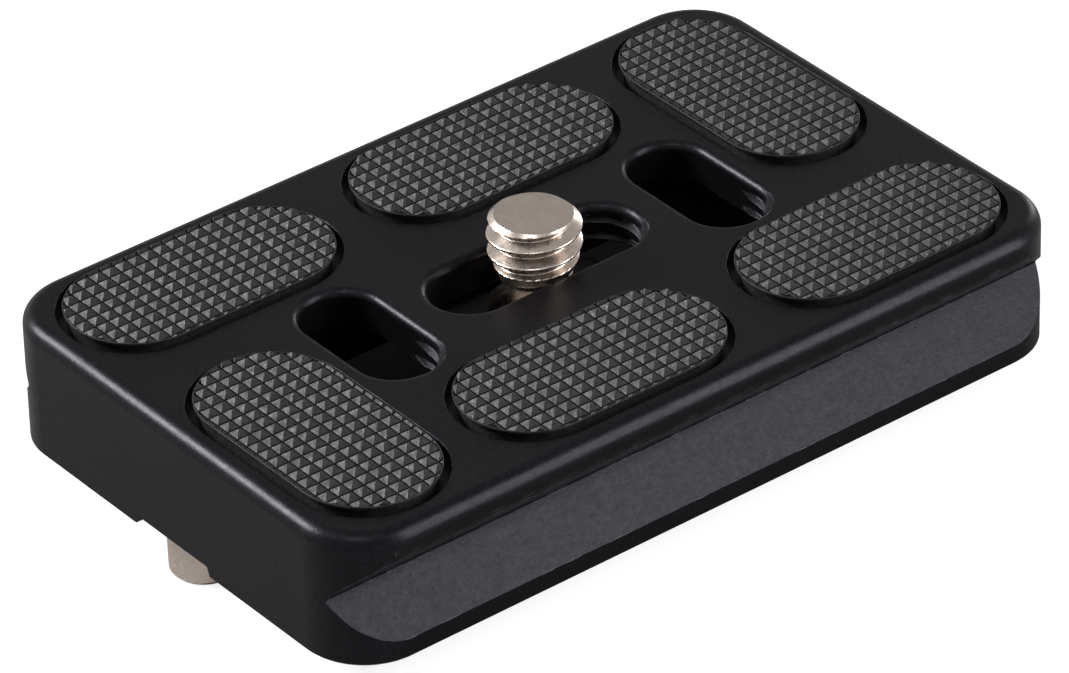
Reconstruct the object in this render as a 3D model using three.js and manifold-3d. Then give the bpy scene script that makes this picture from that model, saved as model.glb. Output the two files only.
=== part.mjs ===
// Camera quick-release plate: a dovetail plate with six rubber pads, a camera screw with its washer
// and D ring, and two stop screws. Millimetres, +Z up, X along the plate. The origin is midway along
// and across the plate, on the surface that the stop screws' heads stand on.
import * as THREE from 'three';
import Module from 'manifold-3d';
import { mergeVertices } from 'three/addons/utils/BufferGeometryUtils.js';

// Plate
const plateLength = 60;
const plateWidth = 38;
const plateHeight = 9.8;
const cornerRadius = 4.8;
const topFillet = 0.8;
const edgeBreak = 0.2;
const standHeight = 2.2;
const webThickness = 2.7;

// Clamp groove along each long side, between the lip at the foot and the slab on top
const lipHeight = 1.5;
const grooveDepth = 3.1;
const grooveFlat = 0.15;

// Underside pocket and the shallow channel that runs from end to end
const pocketEndWall = 8.5;
const pocketSideWall = 5.9;
const pocketCorner = 7;
const channelWidth = 7.4;
const channelDepth = 0.85;
const channelFlare = 0.5;

// Slots, each with a rounded lip and a tapped end
const slotWidth = 5.6;
const slotLip = 0.6;
const crossSlotLength = 11.3;
const crossSlotInset = 7.75;
const slotSpacing = 2.75;
const tapMajorRadius = 3.25;
const tapMinorRadius = 2.6;

// Pads and their recesses
const padWidth = 10.4;
const padClearance = 0.2;
const recessDepth = 1;
const padRise = 0.5;
const studPitch = 1.02;
const studHeight = 0.3;
const padMargin = 1.4;
const endPadMargin = 1.6;
const padSpacing = 2.6;
const endPadSpacing = 2.2;
const rowSpacing = 3.4;

// Camera screw, a quarter-inch screw with 20 threads to the inch
const threadMajorRadius = 3.175;
const threadMinorRadius = 2.42;
const threadPitch = 1.27;
const threadStartAngle = 90;
const tipRise = 3.5;
const tipChamfer = 0.45;
const runoutRise = 0.9;
const runoutLength = 3.4;
const neckRadius = 1.9;
const headRise = 0.9;
const flangeRadius = 7;
const flangeThickness = 1.4;
const hubRadius = 4.2;
const hubHeight = 2.6;
const hubFlat = 3.2;
const coinSlotWidth = 1.6;
const coinSlotDepth = 1.2;

// Washer on the camera screw's flange
const washerRadius = 6.2;
const washerBore = 3.3;
const washerThickness = 0.5;

// D ring, bent wire with its ends in the hub
const wireRadius = 0.75;
const ringSideGap = 0.3;
const ringLegLength = 2.2;
const ringTopGap = 0.35;
const ringPinDepth = 1.8;
const ringHoleClearance = 0.08;
const ringBend = 1;

// Stop screws
const stopInset = 2.5;
const stopHeadRadius = 2.4;
const stopChamfer = 0.25;
const stopShankRadius = 1.25;
const stopShankLength = 4.2;
const stopHoleClearance = 0.05;
const stopHexRadius = 1.15;
const stopHexDepth = 1.2;

// Fineness of round shapes, and how far a cut runs past the surface that it opens
const cornerSteps = 8;
const arcSteps = 16;
const filletSteps = 4;
const turnSteps = 32;
const wireSides = 10;
const hexSides = 6;
const overrun = 0.5;
const weldDistance = 0.00001;

// Shares of one thread pitch at which the root ends, the crest starts and the crest ends
const rootEndShare = 0.25;
const crestStartShare = 0.5625;
const crestEndShare = 0.6875;

// Where a stud stands along and across each pad, from the pad's middle, as shares of the stud pitch
const studShares = {
  pad_far_left: [0.02, 0.43],
  pad_far_middle: [0.45, 0.64],
  pad_far_right: [0.34, 0.38],
  pad_near_right: [0.43, 0.47],
  pad_near_middle: [0.96, 0.23],
  pad_near_left: [0.13, 0.69],
};

// Heights and places that follow from the sizes
const undersideZ = standHeight;
const topZ = undersideZ + plateHeight;
const webZ = topZ - webThickness;
const channelZ = undersideZ + channelDepth;
const flangeTopZ = webZ - headRise - washerThickness;
const flangeZ = flangeTopZ - flangeThickness;
const hubZ = flangeZ - hubHeight;
const ringZ = flangeZ - ringTopGap - wireRadius;
const ringLegY = hubFlat + ringSideGap + wireRadius;
const padFootZ = topZ - recessDepth;
const padTopZ = topZ + padRise;
const studFootZ = padTopZ - studHeight;
const recessWidth = padWidth + 2 * padClearance;
const rowRecessLength = (plateLength - 2 * padMargin - recessWidth - padSpacing - endPadSpacing) / 2;
const endRecessLength = plateWidth - endPadMargin - rowSpacing - recessWidth - padMargin;
const pocketLength = plateLength - 2 * pocketEndWall;
const pocketWidth = plateWidth - 2 * grooveDepth - 2 * pocketSideWall;
const crossSlotOffset = pocketLength / 2 - crossSlotInset;
const centralSlotLength = 2 * (crossSlotOffset - slotWidth / 2 - slotSpacing);
const slotEndX = (centralSlotLength - slotWidth) / 2;
const crossEndY = (crossSlotLength - slotWidth) / 2;
const stopX = plateLength / 2 - stopInset;

const wasm = await Module();
wasm.setup();

// Turns a geometry into a solid that can be joined or cut
function solidOf(geometry) {
  const bare = geometry.index ? geometry.toNonIndexed() : geometry.clone();
  bare.deleteAttribute('normal');
  bare.deleteAttribute('uv');
  const merged = mergeVertices(bare, weldDistance);
  const mesh = new wasm.Mesh({
    numProp: 3,
    vertProperties: Float32Array.from(merged.attributes.position.array),
    triVerts: Uint32Array.from(merged.index.array),
  });
  return new wasm.Manifold(mesh);
}

// Turns a solid back into a flat-shaded geometry
function geometryOf(solid) {
  const mesh = solid.getMesh();
  const indexed = new THREE.BufferGeometry();
  indexed.setAttribute('position', new THREE.BufferAttribute(Float32Array.from(mesh.vertProperties), 3));
  indexed.setIndex(Array.from(mesh.triVerts));
  const geometry = indexed.toNonIndexed();
  geometry.computeVertexNormals();
  return geometry;
}

function triangles(points, faces) {
  const geometry = new THREE.BufferGeometry();
  geometry.setAttribute('position', new THREE.Float32BufferAttribute(points.flat(), 3));
  geometry.setIndex(faces.flat());
  return geometry;
}

// Points of a rectangle with round corners, anticlockwise from the +X side
function roundedOutline(length, width, radius) {
  const points = [];
  for (let corner = 0; corner < 4; corner += 1) {
    const sideX = corner === 0 || corner === 3 ? 1 : -1;
    const sideY = corner < 2 ? 1 : -1;
    for (let step = 0; step <= cornerSteps; step += 1) {
      const angle = (corner + step / cornerSteps) * Math.PI / 2;
      const x = sideX * (length / 2 - radius) + radius * Math.cos(angle);
      const y = sideY * (width / 2 - radius) + radius * Math.sin(angle);
      points.push([x, y]);
    }
  }
  return points;
}

// Points of a slot shape along X: two half circles joined by straight sides
function stadiumOutline(length, width) {
  const radius = width / 2;
  const points = [];
  for (const side of [1, -1]) {
    for (let step = 0; step <= arcSteps; step += 1) {
      const angle = (step / arcSteps - side / 2) * Math.PI;
      points.push([side * (length / 2 - radius) + radius * Math.cos(angle), radius * Math.sin(angle)]);
    }
  }
  return points;
}

// Closed solid through rings of equal point counts, each an outline at its own height
function loft(rings) {
  const count = rings[0].outline.length;
  const points = rings.flatMap(({ outline, z }) => outline.map(([x, y]) => [x, y, z]));
  const faces = [];
  for (let ring = 0; ring < rings.length - 1; ring += 1) {
    for (let i = 0; i < count; i += 1) {
      const next = (i + 1) % count;
      const a = ring * count + i;
      const b = ring * count + next;
      faces.push([a, b, b + count], [a, b + count, a + count]);
    }
  }
  const top = (rings.length - 1) * count;
  for (let i = 1; i < count - 1; i += 1) {
    faces.push([0, i + 1, i], [top, top + i, top + i + 1]);
  }
  return solidOf(triangles(points, faces));
}

// Solid of constant section along X, its profile given in Y and Z
function bar(profile, fromX, toX) {
  const shape = new THREE.Shape(profile.map(([y, z]) => new THREE.Vector2(y, z)));
  const geometry = new THREE.ExtrudeGeometry(shape, { depth: toX - fromX, bevelEnabled: false });
  geometry.applyMatrix4(new THREE.Matrix4().set(0, 0, 1, fromX, 1, 0, 0, 0, 0, 1, 0, 0, 0, 0, 0, 1));
  return solidOf(geometry);
}

function rectangle(halfWidth, fromZ, toZ) {
  return [[-halfWidth, fromZ], [halfWidth, fromZ], [halfWidth, toZ], [-halfWidth, toZ]];
}

// Round solid about Z, its profile of radius and height listed from the bottom up
function turned(profile, steps = turnSteps) {
  const geometry = new THREE.LatheGeometry(profile.map(([r, z]) => new THREE.Vector2(r, z)), steps);
  geometry.rotateX(Math.PI / 2);
  return solidOf(geometry);
}

function cylinder(radius, fromZ, toZ, steps = turnSteps) {
  return turned([[0, fromZ], [radius, fromZ], [radius, toZ], [0, toZ]], steps);
}

// Quarter-round between two sizes: yields the inset and the height share of each step
function quarter(steps = filletSteps) {
  return Array.from({ length: steps + 1 }, (_, step) => {
    const angle = (step / steps) * Math.PI / 2;
    return [1 - Math.cos(angle), Math.sin(angle)];
  });
}

// Right-hand screw thread about Z as one helical surface, crest and root flats joined by flanks
function threadForm(major, minor, fromZ, toZ) {
  const rowShares = [[0, minor], [rootEndShare, minor], [crestStartShare, major], [crestEndShare, major]];
  const perTurn = rowShares.length;
  const turns = Math.ceil((toZ - fromZ) / threadPitch) + 3;
  const rows = turns * perTurn;
  const at = (row, column) => {
    const [share, radius] = rowShares[row % perTurn];
    const rise = Math.floor(row / perTurn) + share + column / turnSteps - 1;
    const angle = (column / turnSteps) * 2 * Math.PI;
    return [radius * Math.cos(angle), radius * Math.sin(angle), fromZ + rise * threadPitch];
  };
  const points = [];
  for (let row = 0; row < rows; row += 1) {
    for (let column = 0; column < turnSteps; column += 1) points.push(at(row, column));
  }
  const index = (row, column) => (
    column === turnSteps ? (row + perTurn) * turnSteps : row * turnSteps + column
  );
  const faces = [];
  for (let row = 0; row < rows - perTurn - 1; row += 1) {
    for (let column = 0; column < turnSteps; column += 1) {
      const a = index(row, column);
      const b = index(row, column + 1);
      const c = index(row + 1, column + 1);
      const d = index(row + 1, column);
      faces.push([a, b, c], [a, c, d]);
    }
  }
  const bottom = points.push([0, 0, fromZ - threadPitch]) - 1;
  const top = points.push([0, 0, fromZ + turns * threadPitch]) - 1;
  const last = rows - perTurn - 1;
  for (let column = 0; column < turnSteps; column += 1) {
    faces.push([bottom, index(0, column + 1), index(0, column)]);
    faces.push([top, index(last, column), index(last, column + 1)]);
  }
  for (let row = 0; row < perTurn; row += 1) {
    faces.push([bottom, index(row, 0), index(row + 1, 0)]);
    faces.push([top, index(last + row + 1, 0), index(last + row, 0)]);
  }
  return solidOf(triangles(points, faces)).intersect(cylinder(major + overrun, fromZ, toZ));
}

// Cutter for a slot whose lip is rounded where it meets the top face
function slotCutter(length) {
  const rings = [{ outline: stadiumOutline(length, slotWidth), z: webZ - overrun }];
  for (const [inset, rise] of quarter()) {
    const grow = 2 * slotLip * inset;
    const outline = stadiumOutline(length + grow, slotWidth + grow);
    rings.push({ outline, z: topZ - slotLip * (1 - rise) });
  }
  const mouth = 2 * slotLip;
  rings.push({ outline: stadiumOutline(length + mouth, slotWidth + mouth), z: topZ + overrun });
  return loft(rings);
}

// Thread grooves of a slot's tapped end
function tapCutter(x, y) {
  return threadForm(tapMajorRadius, tapMinorRadius, webZ - overrun, topZ + overrun).translate(x, y, 0);
}

// V groove beside the dovetail, its mouth edges broken
function grooveCutter(side) {
  const faceY = plateWidth / 2;
  const diagonal = edgeBreak * Math.SQRT1_2;
  const lipZ = undersideZ + lipHeight;
  const slabZ = lipZ + 2 * grooveDepth + grooveFlat;
  const slope = (edgeBreak + diagonal) / diagonal;
  const profile = [
    [faceY + overrun, lipZ - edgeBreak - overrun * slope],
    [faceY, lipZ - edgeBreak],
    [faceY - diagonal, lipZ + diagonal],
    [faceY - grooveDepth, lipZ + grooveDepth],
    [faceY - grooveDepth, lipZ + grooveDepth + grooveFlat],
    [faceY - diagonal, slabZ - diagonal],
    [faceY, slabZ + edgeBreak],
    [faceY + overrun, slabZ + edgeBreak + overrun * slope],
  ];
  const points = profile.map(([y, z]) => [side * y, z]);
  const reach = plateLength / 2 + overrun;
  return bar(points, -reach, reach);
}

function channelCutter() {
  const half = channelWidth / 2;
  const profile = [
    [half + channelFlare, undersideZ - overrun],
    [half + channelFlare, undersideZ],
    [half + channelFlare / 2, undersideZ + channelFlare / 2],
    [half, channelZ],
    [-half, channelZ],
    [-half - channelFlare / 2, undersideZ + channelFlare / 2],
    [-half - channelFlare, undersideZ],
    [-half - channelFlare, undersideZ - overrun],
  ];
  const reach = plateLength / 2 + overrun;
  return bar(profile, -reach, reach);
}

function pocketCutter() {
  const inner = roundedOutline(pocketLength, pocketWidth, pocketCorner);
  const wide = 2 * edgeBreak;
  const mouth = roundedOutline(pocketLength + wide, pocketWidth + wide, pocketCorner + edgeBreak);
  return loft([
    { outline: mouth, z: undersideZ - overrun },
    { outline: mouth, z: undersideZ },
    { outline: inner, z: undersideZ + edgeBreak },
    { outline: inner, z: webZ },
  ]);
}

// Name, middle, length and turn of each recess; the layout repeats after half a turn
function recessPlaces() {
  const rowY = plateWidth / 2 - padMargin - recessWidth / 2;
  const leftX = padMargin + rowRecessLength / 2 - plateLength / 2;
  const middleX = leftX + rowRecessLength + padSpacing;
  const endX = plateLength / 2 - padMargin - recessWidth / 2;
  const endY = plateWidth / 2 - endPadMargin - endRecessLength / 2;
  const far = [
    { name: 'pad_far_left', x: leftX, y: rowY, length: rowRecessLength, turn: 0 },
    { name: 'pad_far_middle', x: middleX, y: rowY, length: rowRecessLength, turn: 0 },
    { name: 'pad_far_right', x: endX, y: endY, length: endRecessLength, turn: 90 },
  ];
  const nearNames = ['pad_near_right', 'pad_near_middle', 'pad_near_left'];
  const near = far.map((place, i) => ({ ...place, name: nearNames[i], x: -place.x, y: -place.y }));
  return [...far, ...near];
}

function placed(solid, { x, y, turn }) {
  return solid.rotate([0, 0, turn]).translate(x, y, 0);
}

function recessCutter(place) {
  const outline = stadiumOutline(place.length, recessWidth);
  return placed(loft([{ outline, z: padFootZ }, { outline, z: topZ + overrun }]), place);
}

function plateBody() {
  const outline = (inset) => (
    roundedOutline(plateLength - 2 * inset, plateWidth - 2 * inset, cornerRadius - inset)
  );
  const rings = [
    { outline: outline(edgeBreak), z: undersideZ },
    { outline: outline(0), z: undersideZ + edgeBreak },
  ];
  for (const [inset, rise] of quarter(filletSteps + 1)) {
    rings.push({ outline: outline(topFillet * inset), z: topZ - topFillet * (1 - rise) });
  }
  let body = loft(rings);
  const stopHoleRadius = stopShankRadius + stopHoleClearance;
  const stopHole = cylinder(stopHoleRadius, undersideZ, channelZ + stopShankLength + overrun);
  const crossSlot = slotCutter(crossSlotLength).rotate([0, 0, 90]);
  const cuts = [
    grooveCutter(1),
    grooveCutter(-1),
    pocketCutter(),
    channelCutter(),
    slotCutter(centralSlotLength),
    tapCutter(slotEndX, 0),
    ...recessPlaces().map(recessCutter),
  ];
  for (const side of [-1, 1]) {
    cuts.push(crossSlot.translate(side * crossSlotOffset, 0, 0));
    cuts.push(tapCutter(side * crossSlotOffset, -crossEndY));
    cuts.push(stopHole.translate(side * stopX, 0, 0));
  }
  for (const cut of cuts) body = body.subtract(cut);
  return body;
}

// A pad's sheet before it is cut to its outline: a closed block under a square lattice of studs
function studSheet({ name, length }) {
  const [shareAlong, shareAcross] = studShares[name];
  const grooveLines = (reach, share) => {
    const steps = Math.ceil(reach / studPitch) + 1;
    return Array.from({ length: 2 * steps + 1 }, (_, step) => (step - steps + share - 1 / 2) * studPitch);
  };
  const xs = grooveLines(length / 2, shareAlong);
  const ys = grooveLines(padWidth / 2, shareAcross);
  const points = [padFootZ - overrun, studFootZ].flatMap((z) => ys.flatMap((y) => xs.map((x) => [x, y, z])));
  const layer = xs.length * ys.length;
  const lastColumn = xs.length - 1;
  const lastRow = ys.length - 1;
  const at = (column, row) => row * xs.length + column;
  const faces = [];
  const addWall = (from, to) => faces.push([from, to, to + layer], [from, to + layer, from + layer]);
  for (let row = 0; row < lastRow; row += 1) {
    for (let column = 0; column < lastColumn; column += 1) {
      const foot = [at(column, row), at(column + 1, row), at(column + 1, row + 1), at(column, row + 1)];
      const peak = points.push([xs[column] + studPitch / 2, ys[row] + studPitch / 2, padTopZ]) - 1;
      foot.forEach((corner, i) => faces.push([corner + layer, foot[(i + 1) % foot.length] + layer, peak]));
      faces.push([foot[0], foot[2], foot[1]], [foot[0], foot[3], foot[2]]);
    }
  }
  for (let column = 0; column < lastColumn; column += 1) {
    addWall(at(column, 0), at(column + 1, 0));
    addWall(at(column + 1, lastRow), at(column, lastRow));
  }
  for (let row = 0; row < lastRow; row += 1) {
    addWall(at(lastColumn, row), at(lastColumn, row + 1));
    addWall(at(0, row + 1), at(0, row));
  }
  return solidOf(triangles(points, faces));
}

function pad(place) {
  const outline = stadiumOutline(place.length - 2 * padClearance, padWidth);
  const blank = loft([{ outline, z: padFootZ }, { outline, z: padTopZ + overrun }]);
  return placed(studSheet(place).intersect(blank), place);
}

function cameraScrew() {
  const tipZ = topZ + tipRise;
  const runoutZ = topZ + runoutRise;
  const envelope = turned([
    [0, flangeTopZ],
    [neckRadius, flangeTopZ],
    [neckRadius, runoutZ - runoutLength],
    [threadMajorRadius, runoutZ],
    [threadMajorRadius, tipZ - tipChamfer],
    [threadMajorRadius - tipChamfer, tipZ],
    [0, tipZ],
  ]);
  const thread = threadForm(threadMajorRadius, threadMinorRadius, flangeTopZ, tipZ);
  const stud = thread.rotate([0, 0, threadStartAngle]).intersect(envelope);
  const hub = cylinder(hubRadius, hubZ, flangeZ).intersect(
    bar(rectangle(hubFlat, hubZ, flangeZ), -hubRadius, hubRadius),
  );
  const flange = cylinder(flangeRadius, flangeZ, flangeTopZ);
  const coinSlot = bar(
    rectangle(coinSlotWidth / 2, hubZ - overrun, hubZ + coinSlotDepth),
    -hubRadius - overrun,
    hubRadius + overrun,
  );
  let screw = stud.add(flange).add(hub).subtract(coinSlot);
  const holeRadius = wireRadius + ringHoleClearance;
  const hole = cylinder(holeRadius, -ringPinDepth - ringSideGap, overrun, turnSteps / 2);
  for (const side of [-1, 1]) {
    screw = screw.subtract(hole.rotate([-side * 90, 0, 0]).translate(0, side * hubFlat, ringZ));
  }
  return screw;
}

function screwWasher() {
  const upperZ = flangeTopZ + washerThickness;
  const bore = cylinder(washerBore, flangeTopZ - overrun, upperZ + overrun);
  return cylinder(washerRadius, flangeTopZ, upperZ).subtract(bore);
}

// Wire bent to a D, from one pin in the hub round to the other
function screwRing() {
  const pinY = hubFlat - ringPinDepth;
  const legX = ringLegLength;
  const path = new THREE.CurvePath();
  const point = (x, y) => new THREE.Vector3(x, y, ringZ);
  path.add(new THREE.LineCurve3(point(0, -pinY), point(0, -ringLegY + ringBend)));
  path.add(new THREE.QuadraticBezierCurve3(
    point(0, -ringLegY + ringBend),
    point(0, -ringLegY),
    point(ringBend, -ringLegY),
  ));
  path.add(new THREE.LineCurve3(point(ringBend, -ringLegY), point(legX, -ringLegY)));
  const control = ringLegY * 4 / 3 * Math.tan(Math.PI / 8);
  path.add(new THREE.CubicBezierCurve3(
    point(legX, -ringLegY),
    point(legX + control, -ringLegY),
    point(legX + ringLegY, -control),
    point(legX + ringLegY, 0),
  ));
  path.add(new THREE.CubicBezierCurve3(
    point(legX + ringLegY, 0),
    point(legX + ringLegY, control),
    point(legX + control, ringLegY),
    point(legX, ringLegY),
  ));
  path.add(new THREE.LineCurve3(point(legX, ringLegY), point(ringBend, ringLegY)));
  path.add(new THREE.QuadraticBezierCurve3(
    point(ringBend, ringLegY),
    point(0, ringLegY),
    point(0, ringLegY - ringBend),
  ));
  path.add(new THREE.LineCurve3(point(0, ringLegY - ringBend), point(0, pinY)));
  const corners = Array.from({ length: wireSides }, (_, side) => {
    const angle = (side / wireSides) * 2 * Math.PI;
    return new THREE.Vector2(wireRadius * Math.cos(angle), wireRadius * Math.sin(angle));
  });
  const section = new THREE.Shape(corners);
  const geometry = new THREE.ExtrudeGeometry(section, { steps: 2 * turnSteps, extrudePath: path });
  return solidOf(geometry);
}

function stopScrew(side) {
  const solid = turned([
    [0, 0],
    [stopHeadRadius - stopChamfer, 0],
    [stopHeadRadius, stopChamfer],
    [stopHeadRadius, channelZ],
    [stopShankRadius, channelZ],
    [stopShankRadius, channelZ + stopShankLength],
    [0, channelZ + stopShankLength],
  ]);
  const hex = cylinder(stopHexRadius, -overrun, stopHexDepth, hexSides);
  return solid.subtract(hex).translate(side * stopX, 0, 0);
}

const finishes = {
  anodised: { color: 0x262527, roughness: 0.45, metalness: 0.85 },
  rubber: { color: 0x3a3a3d, roughness: 0.8, metalness: 0 },
  steel: { color: 0xb9b2ab, roughness: 0.28, metalness: 1 },
  nylon: { color: 0x1c1c1d, roughness: 0.6, metalness: 0 },
};

const plate = new THREE.Group();

function addPiece(name, solid, finish) {
  const mesh = new THREE.Mesh(geometryOf(solid), new THREE.MeshStandardMaterial(finishes[finish]));
  mesh.name = name;
  plate.add(mesh);
}

addPiece('plate_body', plateBody(), 'anodised');
for (const place of recessPlaces()) addPiece(place.name, pad(place), 'rubber');
addPiece('camera_screw', cameraScrew(), 'steel');
addPiece('screw_washer', screwWasher(), 'nylon');
addPiece('screw_ring', screwRing(), 'steel');
addPiece('stop_screw_left', stopScrew(-1), 'steel');
addPiece('stop_screw_right', stopScrew(1), 'steel');

export default plate;
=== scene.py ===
# Camera quick-release plate: materials, rubber studs, fine screw threads, studio light and camera.
# Lengths are metres; sizes written in millimetres are multiplied by MM.
# Each piece is built as a closed mesh in the CAD frame and takes the place of one CAD node; the
# camera screw and the pads are two meshes each.
import math

import bmesh
import bpy
from mathutils import Matrix, Vector


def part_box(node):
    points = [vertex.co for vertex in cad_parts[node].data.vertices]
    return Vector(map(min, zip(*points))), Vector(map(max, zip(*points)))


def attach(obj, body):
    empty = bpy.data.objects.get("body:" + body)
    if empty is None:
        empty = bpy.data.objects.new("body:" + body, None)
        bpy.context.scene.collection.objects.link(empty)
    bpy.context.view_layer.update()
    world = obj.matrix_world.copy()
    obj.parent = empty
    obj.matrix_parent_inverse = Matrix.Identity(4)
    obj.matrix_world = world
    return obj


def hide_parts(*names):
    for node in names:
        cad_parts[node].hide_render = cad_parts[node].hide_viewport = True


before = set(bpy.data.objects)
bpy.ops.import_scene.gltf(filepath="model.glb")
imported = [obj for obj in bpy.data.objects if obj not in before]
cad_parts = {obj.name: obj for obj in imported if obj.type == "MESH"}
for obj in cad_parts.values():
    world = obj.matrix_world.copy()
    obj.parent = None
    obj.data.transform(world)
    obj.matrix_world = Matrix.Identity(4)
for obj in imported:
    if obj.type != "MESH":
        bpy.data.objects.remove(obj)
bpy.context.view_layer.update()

MM = 0.001

# Heights that the pieces share, taken from the frame
PLATE_LOW, PLATE_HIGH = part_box("plate_body")
SCREW_LOW, SCREW_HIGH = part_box("camera_screw")
WASHER_LOW, WASHER_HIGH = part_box("screw_washer")
RING_LOW, RING_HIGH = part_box("screw_ring")
TOP_Z = PLATE_HIGH.z
FOOT_Z = PLATE_LOW.z

# Plate
CORNER_RADIUS = 4.8 * MM
TOP_FILLET = 1.1 * MM
EDGE_BREAK = 0.2 * MM
WEB_THICKNESS = 2.7 * MM
LIP_HEIGHT = 1.5 * MM
GROOVE_DEPTH = 3.1 * MM
GROOVE_FLAT = 0.15 * MM
POCKET_END_WALL = 8.5 * MM
POCKET_SIDE_WALL = 5.9 * MM
POCKET_CORNER = 7 * MM
CHANNEL_WIDTH = 7.4 * MM
CHANNEL_DEPTH = 0.85 * MM
CHANNEL_FLARE = 0.5 * MM
SLOT_WIDTH = 5.6 * MM
SLOT_LIP = 0.6 * MM
CROSS_SLOT_LENGTH = 11.3 * MM
CROSS_SLOT_X = 13.75 * MM
CENTRAL_SLOT_LENGTH = 16.4 * MM
TAP_MAJOR = 3.25 * MM
TAP_MINOR = 2.6 * MM
RECESS_DEPTH = 1 * MM
RECESS_GAP = 0.2 * MM
RECESS_LIP = 0.08 * MM
CUT_OVERRUN = 0.5 * MM

# Rubber pads, each with the place of its stud lattice along X and Y, as shares of the pitch
PAD_STUD_SHARES = {
    "pad_far_left": (0.92, 0.04),
    "pad_far_middle": (0.25, 0.3),
    "pad_far_right": (0.23, 0.05),
    "pad_near_right": (0.18, 0.42),
    "pad_near_middle": (0.76, 0.03),
    "pad_near_left": (0.06, 0.84),
}
PAD_INSET = 0.26 * MM
PAD_UNDERCUT = 0.35 * MM
PAD_EDGE_HEIGHT = 0.12 * MM
PAD_RIM_RISE = 0.42 * MM
PAD_RIM_WIDTH = 0.08 * MM
PAD_EDGE_ROUND = 0.04 * MM
PAD_FLOOR_DROP = 0.25 * MM
STUD_PITCH = 1.02 * MM
STUD_WIDTH = 0.9 * MM
STUD_TIP = 0.07 * MM
STUD_FOOT = 0.15 * MM
STUD_RISE = 0.64 * MM
STUD_SINK = 0.03 * MM
STUD_SPARE_ROWS = 3

# Camera screw
THREAD_PITCH = 1.27 * MM
THREAD_MAJOR = 3.175 * MM
THREAD_MINOR = 2.42 * MM
THREAD_START = 0.3175 * MM
THREAD_SHARES = (0.22, 0.57, 0.68)
NECK_RADIUS = 1.9 * MM
TIP_CHAMFER = 0.55 * MM
RUNOUT_RISE = 0.9 * MM
RUNOUT_LENGTH = 3.4 * MM
FLANGE_THICKNESS = 1.4 * MM
HUB_RADIUS = 4.2 * MM
HUB_FLAT = 3.2 * MM
COIN_SLOT_WIDTH = 1.6 * MM
COIN_SLOT_DEPTH = 1.2 * MM
EDGE_ROUND = 0.12 * MM

# Washer, D ring and stop screws
WASHER_BORE = 3.3 * MM
WIRE_RADIUS = 0.75 * MM
WIRE_BEND = 1 * MM
RING_PIN_Y = 1.4 * MM
RING_HOLE_GAP = 0.08 * MM
STOP_HEAD_RADIUS = 2.4 * MM
STOP_SHANK_RADIUS = 1.25 * MM
STOP_HOLE_GAP = 0.05 * MM
STOP_HEX_RADIUS = 1.15 * MM
STOP_HEX_DEPTH = 1.2 * MM
STOP_CHAMFER = 0.25 * MM

# Materials: the size of each pattern's blotches, and the limits or colours it wanders between;
# a bump is its strength and its height
NOISE_ROUGHNESS = 0.55
NOISE_MIDDLE = (0.3, 0.7)
COARSE_DETAIL = 2.0
FINE_DETAIL = 3.0

ANODISED_CLOUD = 9 * MM
ANODISED_COLOURS = ("#08080A", "#0C0C0E")
ANODISED_SHEEN = 0.5 * MM
ANODISED_ROUGHNESS = (0.32, 0.38)
ANODISED_FACETS = 0.25 * MM
ANODISED_SPECULAR = (0.15, 0.24)
ANODISED_TINT = "#F6F0FF"
ANODISED_GRIT = 0.2 * MM
ANODISED_BUMP = (0.6, 0.02 * MM)

# Grey along sharp edges: partly worn anodising, partly a painted highlight of edges that catch the
# lamps
WEAR_AND_HIGHLIGHT_EDGE = 0.07 * MM
WEAR_AND_HIGHLIGHT_SAMPLES = 4
WEAR_AND_HIGHLIGHT_MATCH = (0.995, 0.93)
WEAR_AND_HIGHLIGHT_PATCH = 1.1 * MM
WEAR_AND_HIGHLIGHT_SHARE = (-1.5, 1.5)
WEAR_AND_HIGHLIGHT_COLOUR = "#77777B"

RUBBER_MOTTLE = 0.3 * MM
RUBBER_COLOURS = ("#1C1C1E", "#303033")
RUBBER_SHEEN = 0.4 * MM
RUBBER_ROUGHNESS = (0.4, 0.6)
RUBBER_SPECULAR = 0.28
RUBBER_SKIN = 0.22 * MM
RUBBER_BUMP = (0.8, 0.05 * MM)

STEEL_CLOUD = 2.5 * MM
STEEL_COLOURS = ("#D7C8BC", "#E2D5CA")
STEEL_SHEEN = 0.6 * MM
STEEL_ROUGHNESS = (0.22, 0.32)
STEEL_FEED = 0.13 * MM
STEEL_FEED_DRIFT = 0.6
STEEL_BUMP = (0.18, 0.004 * MM)
WAVE_RADIANS = 20

WIRE_CLOUD = 1.5 * MM
WIRE_COLOURS = ("#C2BAB1", "#D2CAC2")
WIRE_SHEEN = 0.5 * MM
WIRE_ROUGHNESS = (0.2, 0.3)
WIRE_MARKS = 0.25 * MM
WIRE_BUMP = (0.1, 0.01 * MM)

NYLON_CLOUD = 1.2 * MM
NYLON_COLOURS = ("#161617", "#1E1E1F")
NYLON_ROUGHNESS = 0.55
NYLON_IOR = 1.53
NYLON_GRAIN = 0.2 * MM
NYLON_BUMP = (0.3, 0.01 * MM)

# Fineness of the round shapes
ROUND_STEPS = 96
CORNER_STEPS = 24
STADIUM_STEPS = 28
FILLET_STEPS = 10
LIP_STEPS = 6
BORE_STEPS = 48
HUB_STEPS = 24
WIRE_STEPS = 32
BEND_STEPS = 10
BOW_STEPS = 32
THREAD_COLUMNS = 120
THREAD_ROW = 0.035 * MM
TAP_COLUMNS = 72
TAP_ROW = 0.08 * MM
THREAD_SHARP = 50
SHARP_ABOVE = 32
ROUNDED_ABOVE = 40
STOP_ROUNDED_ABOVE = 30

# Camera, at the photograph's angle
CAMERA_TARGET = Vector((2.972, 4.125, 2.4)) * MM
CAMERA_AZIMUTH = -37.73
CAMERA_ELEVATION = 33.655
CAMERA_ROLL = -1.642
CAMERA_DISTANCE = 506.69 * MM
CAMERA_LENS = 256.08
SENSOR_WIDTH = 36
FAR_CLIP = 10

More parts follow.
